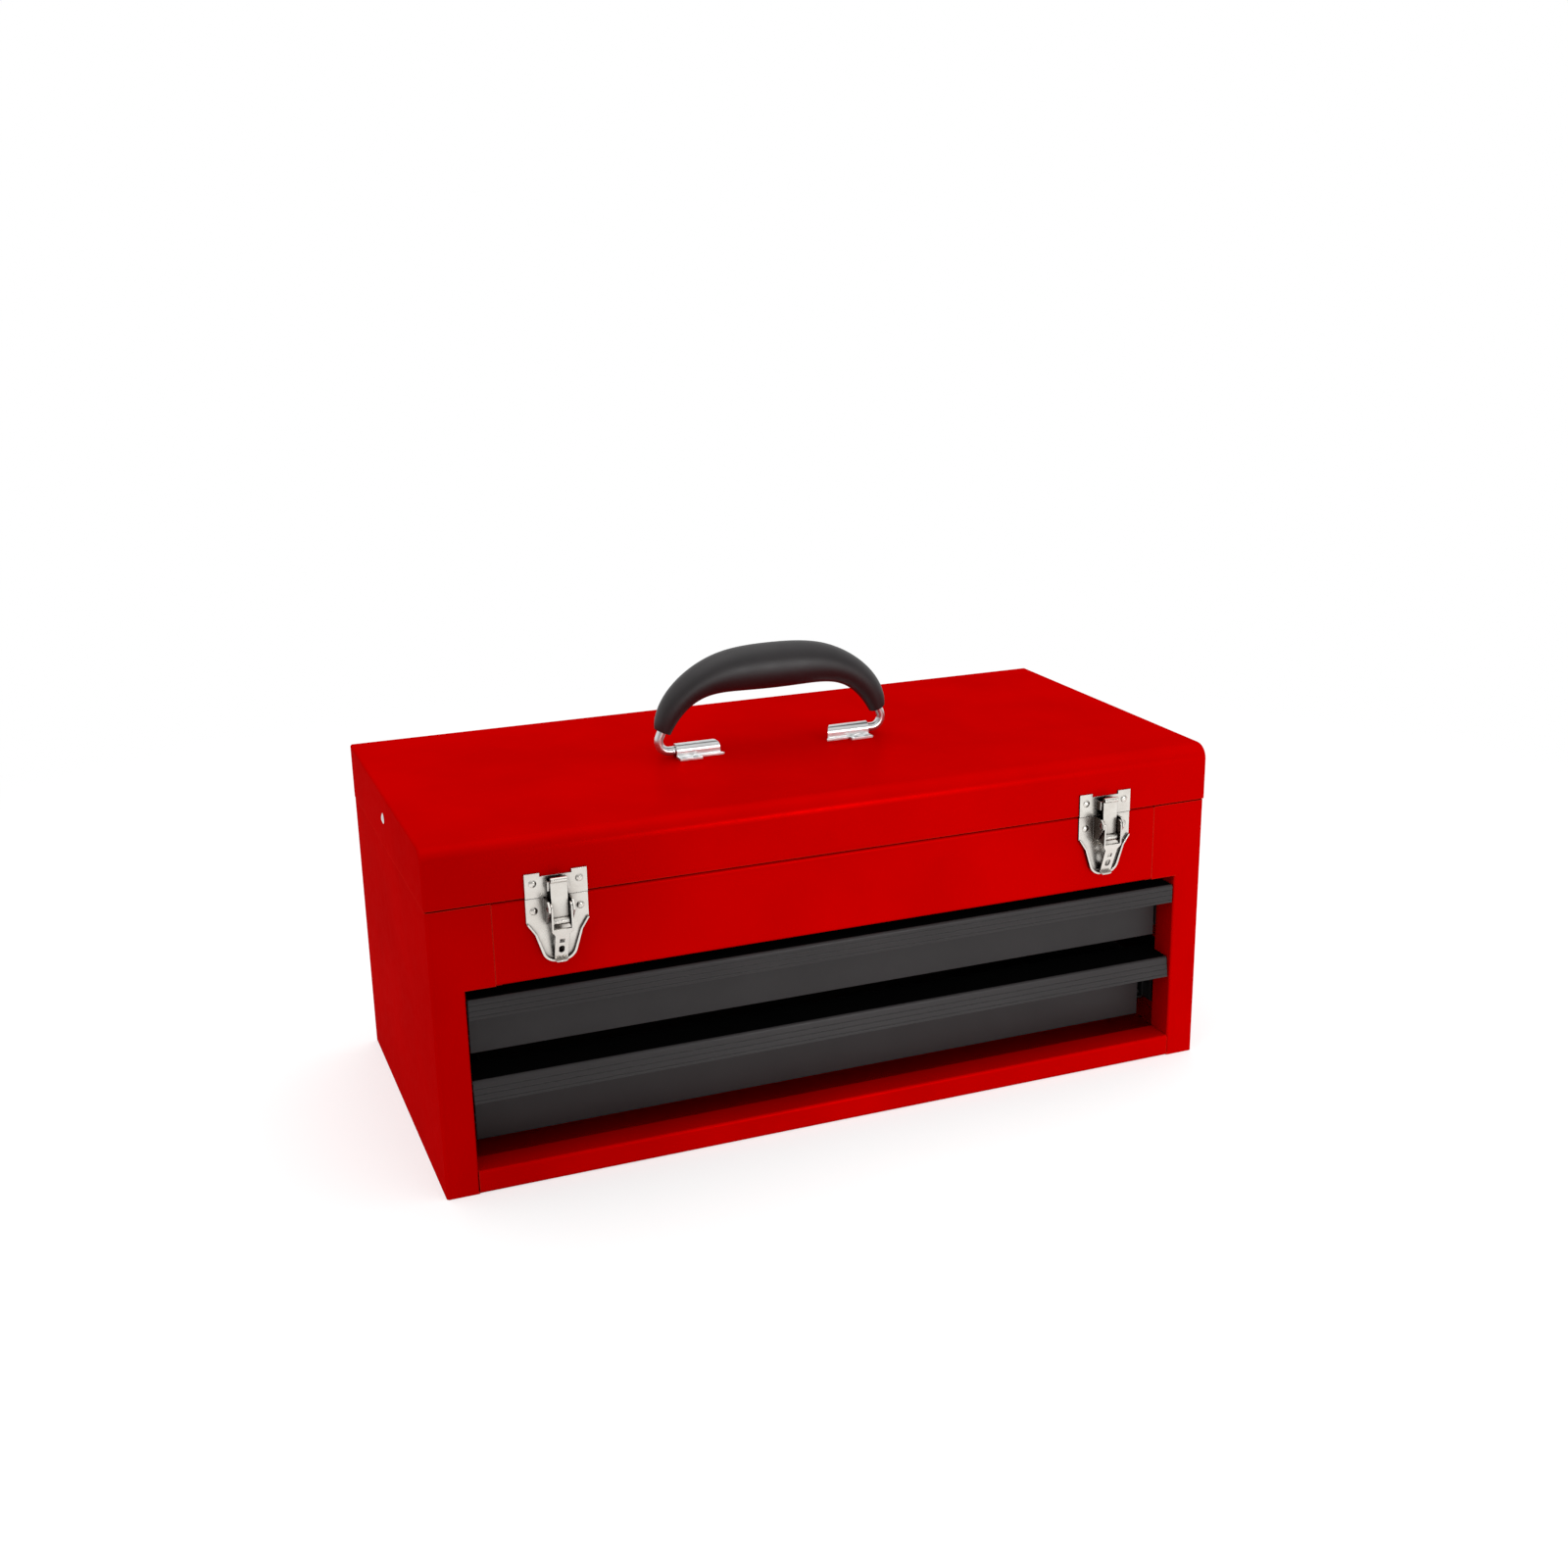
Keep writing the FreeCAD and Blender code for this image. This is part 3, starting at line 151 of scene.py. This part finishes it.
# Carcass: folded and spot-welded steel sheet, one millimetre thick, sprayed inside and out
# with glossy red enamel that has a fine orange peel; the brighter red on the folds is a painted highlight.

enamel_red = (0.52, 0.0, 0.0, 1)
enamel_deep_red = (0.47, 0.0, 0.0, 1)
enamel_highlight_red = (0.78, 0.028, 0.015, 1)
enamel_fold = 0.0007
enamel_cloud = 14.0
peel_grain = 700.0
peel_depth = 0.00004
fold_turn = (0.995, 0.80)


def ramp(tree, source, stops):
    """Colours along a value: stops are (place, colour) from low to high."""
    made = node(tree, "ValToRGB", {"Fac": source})
    elements = made.color_ramp.elements
    while len(elements) < len(stops):
        elements.new(1.0)
    for element, (place, colour) in zip(elements, stops):
        element.position = place
        element.color = colour
    return made.outputs["Color"]


def noise(tree, scale, detail=2.0, stretch=(1, 1, 1)):
    """Noise on the piece's own coordinates, in cycles per metre, stretched along an axis."""
    place = node(tree, "TexCoord").outputs["Object"]
    spread = node(tree, "Mapping", {"Vector": place, "Scale": stretch})
    made = node(tree, "TexNoise", {"Vector": spread.outputs[0], "Scale": scale, "Detail": detail})
    return made.outputs["Fac"]


def folds(tree, width):
    """The rounded normal at the edges, and how far it turns there, from 0 to about 1."""
    rounded = node(tree, "Bevel", {"Radius": width}, samples=6)
    flat = node(tree, "NewGeometry")
    even = node(tree, "VectorMath", {0: rounded.outputs[0], 1: flat.outputs["True Normal"]},
                operation="DOT_PRODUCT")
    turned = node(tree, "MapRange", {"Value": even.outputs["Value"],
                                     "From Min": fold_turn[0], "From Max": fold_turn[1]})
    return rounded.outputs[0], turned.outputs[0]


def blend(tree, factor, low, high):
    """Mixes two colours, each a value or an output."""
    made = tree.nodes.new("ShaderNodeMix")
    made.data_type = "RGBA"
    for key, value in ((0, factor), (6, low), (7, high)):
        if isinstance(value, bpy.types.NodeSocket):
            tree.links.new(value, made.inputs[key])
        else:
            made.inputs[key].default_value = value
    return made.outputs[2]


def new_finish(name, **values):
    """A material and its main shader, with the values that hold all over set on its sockets."""
    material = bpy.data.materials.new(name)
    material.use_nodes = True
    shader = material.node_tree.nodes["Principled BSDF"]
    for key, value in values.items():
        shader.inputs[key.replace("_", " ")].default_value = value
    return material, material.node_tree, shader


def rough_band(tree, shader, source, low, high):
    """Roughness that runs from low to high with a pattern."""
    band = node(tree, "MapRange", {"Value": source, "To Min": low, "To Max": high})
    tree.links.new(band.outputs[0], shader.inputs["Roughness"])


def relief(tree, shader, pattern, depth, normal=None):
    """Bumps of a depth in metres, over a normal where one is given."""
    links = {"Height": pattern, "Distance": depth, "Strength": 1.0}
    if normal is not None:
        links["Normal"] = normal
    tree.links.new(node(tree, "Bump", links).outputs[0], shader.inputs["Normal"])


def facing(tree, axis, low, high):
    """0 to 1 as a face turns towards an axis, either way along it."""
    turned = node(tree, "SeparateXYZ", {"Vector": node(tree, "NewGeometry").outputs["True Normal"]})
    size = node(tree, "Math", {0: turned.outputs[axis]}, operation="ABSOLUTE")
    return node(tree, "MapRange", {"Value": size.outputs[0], "From Min": low, "From Max": high}).outputs[0]


def red_enamel_finish():
    material, tree, shader = new_finish("red_enamel", Metallic=0.16, Specular_Tint=(1, 0.02, 0.02, 1))
    shader.inputs["Specular IOR Level"].default_value = 0.0
    rounded, edge = folds(tree, enamel_fold)
    cloud = noise(tree, enamel_cloud, 4.0)
    body = ramp(tree, cloud, [(0.35, enamel_deep_red), (0.65, enamel_red)])
    # Painted highlight: a brighter red along the folds.
    tree.links.new(blend(tree, edge, body, enamel_highlight_red), shader.inputs["Base Color"])
    rough_band(tree, shader, noise(tree, 160.0), 0.28, 0.42)
    relief(tree, shader, noise(tree, peel_grain, 1.0), peel_depth, rounded)
    return material


def dress(names, material):
    """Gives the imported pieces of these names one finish."""
    for name in names:
        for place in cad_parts[name].material_slots:
            place.material = material


red_enamel = red_enamel_finish()
dress(["bottom_pan", "back_panel", "left_side_panel", "right_side_panel", "front_panel", "well_floor"],
      red_enamel)

# Drawer slides: rolled steel channels with a ball cage between them, on folded hat brackets that
# are spot-welded to the side walls, coloured near black as painted shade for the gaps. The balls are bright.

sides = ("left", "right")
levels = ("upper", "lower")
slide_shade_dark = (0.006, 0.006, 0.006, 1)
slide_shade_light = (0.011, 0.011, 0.011, 1)
rolling_grain = 500.0
rolling_depth = 0.00002
ball_dark = (0.58, 0.58, 0.58, 1)
ball_light = (0.66, 0.66, 0.66, 1)


def slide_steel_finish():
    material, tree, shader = new_finish("black_slide_steel", Metallic=0.0)
    shader.inputs["Specular IOR Level"].default_value = 0.35
    # Painted shade: near-black steel for the dark gaps beside the drawers.
    grey = ramp(tree, noise(tree, 60.0, 3.0), [(0.3, slide_shade_dark), (0.7, slide_shade_light)])
    tree.links.new(grey, shader.inputs["Base Color"])
    rough_band(tree, shader, noise(tree, 300.0), 0.35, 0.5)
    relief(tree, shader, noise(tree, rolling_grain, 2.0, (1, 0.05, 1)), rolling_depth)
    return material


def bearing_finish():
    material, tree, shader = new_finish("bearing_steel", Metallic=1.0)
    shine = ramp(tree, noise(tree, 400.0), [(0.3, ball_dark), (0.7, ball_light)])
    tree.links.new(shine, shader.inputs["Base Color"])
    rough_band(tree, shader, noise(tree, 900.0), 0.08, 0.16)
    return material


slide_steel = slide_steel_finish()
dress([f"{level}_slide_{piece}_{side}" for level in levels for side in sides
       for piece in ("bracket", "outer", "inner", "cage")], slide_steel)
dress(["slide_bracket_rivets"], slide_steel)
dress(["upper_slide_balls", "lower_slide_balls"], bearing_finish())

# Drawers: steel trays in satin black enamel, each riveted to its sliding members, behind a
# front folded from one sheet into a set-back face, a shelf and a grooved lip to pull by. A lighter
# grey on the folds is a painted highlight, and the shelf is painted near black as the shade of the opening.

tray_dark = (0.016, 0.014, 0.014, 1)
tray_light = (0.022, 0.019, 0.019, 1)
front_dark = (0.0170, 0.0142, 0.0147, 1)
front_light = (0.0220, 0.0188, 0.0193, 1)
drawer_highlight_grey = (0.06, 0.058, 0.058, 1)
shelf_painted_shade = (0.002, 0.002, 0.002, 1)
drawer_shine = 0.3
satin_fold = 0.0005
satin_grain = 900.0
satin_depth = 0.00003


def black_enamel_finish(name, dark, light):
    material, tree, shader = new_finish(name, Metallic=0.0)
    shader.inputs["Specular IOR Level"].default_value = drawer_shine
    rounded, edge = folds(tree, satin_fold)
    body = ramp(tree, noise(tree, 22.0, 4.0), [(0.3, dark), (0.7, light)])
    # Painted highlight: a lighter grey along the folds.
    tree.links.new(blend(tree, edge, body, drawer_highlight_grey), shader.inputs["Base Color"])
    rough_band(tree, shader, noise(tree, 120.0), 0.4, 0.52)
    relief(tree, shader, noise(tree, satin_grain, 1.0), satin_depth, rounded)
    return material


def paint_shelf_shade(material):
    """Near black and without shine where a face lies flat: painted shade on the shelf."""
    tree = material.node_tree
    shader = tree.nodes["Principled BSDF"]
    shelf = facing(tree, "Z", 0.93, 0.99)
    sprayed = shader.inputs["Base Color"].links[0].from_socket
    # Painted shade: flat-lying faces of the front go near black without shine.
    tree.links.new(blend(tree, shelf, sprayed, shelf_painted_shade), shader.inputs["Base Color"])
    gloss = node(tree, "MapRange", {"Value": shelf, "To Min": drawer_shine, "To Max": 0.0})
    tree.links.new(gloss.outputs[0], shader.inputs["Specular IOR Level"])


black_enamel = black_enamel_finish("black_enamel", tray_dark, tray_light)
front_enamel = black_enamel_finish("drawer_front_enamel", front_dark, front_light)
paint_shelf_shade(front_enamel)
dress([level + "_drawer_tray" for level in levels], black_enamel)
dress([level + "_drawer_front" for level in levels], front_enamel)

# Lid: one folded shell with a deep round bend along its front, in the same red enamel, on a
# zinc-plated piano hinge.

zinc_dark = (0.60, 0.61, 0.61, 1)
zinc_light = (0.68, 0.69, 0.69, 1)
zinc_highlight = (0.88, 0.88, 0.87, 1)
plate_fold = 0.0004
drawn_grain = 1200.0
drawn_depth = 0.000001


def zinc_finish():
    material, tree, shader = new_finish("zinc_plate", Metallic=1.0)
    rounded, edge = folds(tree, plate_fold)
    spangle = ramp(tree, noise(tree, 90.0, 3.0), [(0.3, zinc_dark), (0.7, zinc_light)])
    # Painted highlight: lighter zinc along the folds.
    tree.links.new(blend(tree, edge, spangle, zinc_highlight), shader.inputs["Base Color"])
    rough_band(tree, shader, noise(tree, 200.0), 0.26, 0.36)
    relief(tree, shader, noise(tree, drawn_grain, 2.0, (0.06, 1, 1)), drawn_depth, rounded)
    return material


zinc_plate = zinc_finish()
dress(["lid_shell"], red_enamel)
dress(["hinge_body_leaf", "hinge_lid_leaf", "hinge_pin"], zinc_plate)
dress([level + "_drawer_rivets" for level in levels], zinc_plate)

# Lid stays: two flat zinc-plated links each side, riveted at the knee.

dress([f"stay_{end}_link_{side}" for end in ("lid", "body") for side in sides], zinc_plate)
dress(["stay_body_studs", "stay_knee_rivets", "stay_lid_rivets"], zinc_plate)

# Draw latches: pressed steel in bright nickel plate, with a painted highlight of lighter nickel on the
# folds, and painted shade in dark brown in the recesses and on the flanks that face sideways.

nickel_dark = (0.66, 0.62, 0.57, 1)
nickel_light = (0.74, 0.71, 0.66, 1)
nickel_highlight = (0.86, 0.84, 0.81, 1)
recess_shade_brown = (0.035, 0.020, 0.014, 1)
recess_depth = 0.010
pressing_grain = 800.0
pressing_depth = 0.00001


def nickel_finish():
    material, tree, shader = new_finish("nickel_plate", Metallic=1.0)
    rounded, edge = folds(tree, plate_fold)
    bright = ramp(tree, noise(tree, 130.0, 4.0), [(0.3, nickel_dark), (0.7, nickel_light)])
    # Painted highlight: lighter nickel along the folds.
    highlighted = blend(tree, edge, bright, nickel_highlight)
    # Painted shade: dark brown where nearby parts occlude, and on faces turned along X.
    sheltered = node(tree, "AmbientOcclusion", {"Distance": recess_depth}, samples=8)
    painted_recess_shade = node(tree, "MapRange", {"Value": sheltered.outputs["AO"], "From Min": 0.82, "From Max": 0.32})
    flank_shade = facing(tree, "X", 0.55, 0.95)
    shade_mask = node(tree, "Math", {0: painted_recess_shade.outputs[0], 1: flank_shade}, operation="MAXIMUM")
    tree.links.new(blend(tree, shade_mask.outputs[0], highlighted, recess_shade_brown), shader.inputs["Base Color"])
    rough_band(tree, shader, noise(tree, 260.0), 0.20, 0.34)
    relief(tree, shader, noise(tree, pressing_grain, 2.0), pressing_depth, rounded)
    return material


nickel_plate = nickel_finish()
dress([f"latch_{piece}_{side}" for side in sides for piece in ("base", "catch", "lever", "link", "link_pin")],
      nickel_plate)
dress(["latch_base_rivets", "latch_catch_rivets", "latch_pivot_rivets"], nickel_plate)

# Bail handle: a bent steel wire in two pressed brackets, with a moulded black grip.

grip_dark = (0.006, 0.004, 0.005, 1)
grip_light = (0.010, 0.007, 0.008, 1)
mould_grain = 1500.0
mould_depth = 0.00003


def grip_finish():
    material, tree, shader = new_finish("black_grip", Metallic=0.0)
    shader.inputs["Specular IOR Level"].default_value = 0.5
    black = ramp(tree, noise(tree, 50.0, 3.0), [(0.3, grip_dark), (0.7, grip_light)])
    tree.links.new(black, shader.inputs["Base Color"])
    rough_band(tree, shader, noise(tree, 90.0), 0.42, 0.52)
    relief(tree, shader, noise(tree, mould_grain, 2.0), mould_depth)
    return material


dress(["handle_bracket_left", "handle_bracket_right", "handle_bracket_rivets", "handle_wire"], zinc_plate)
dress(["handle_grip"], grip_finish())
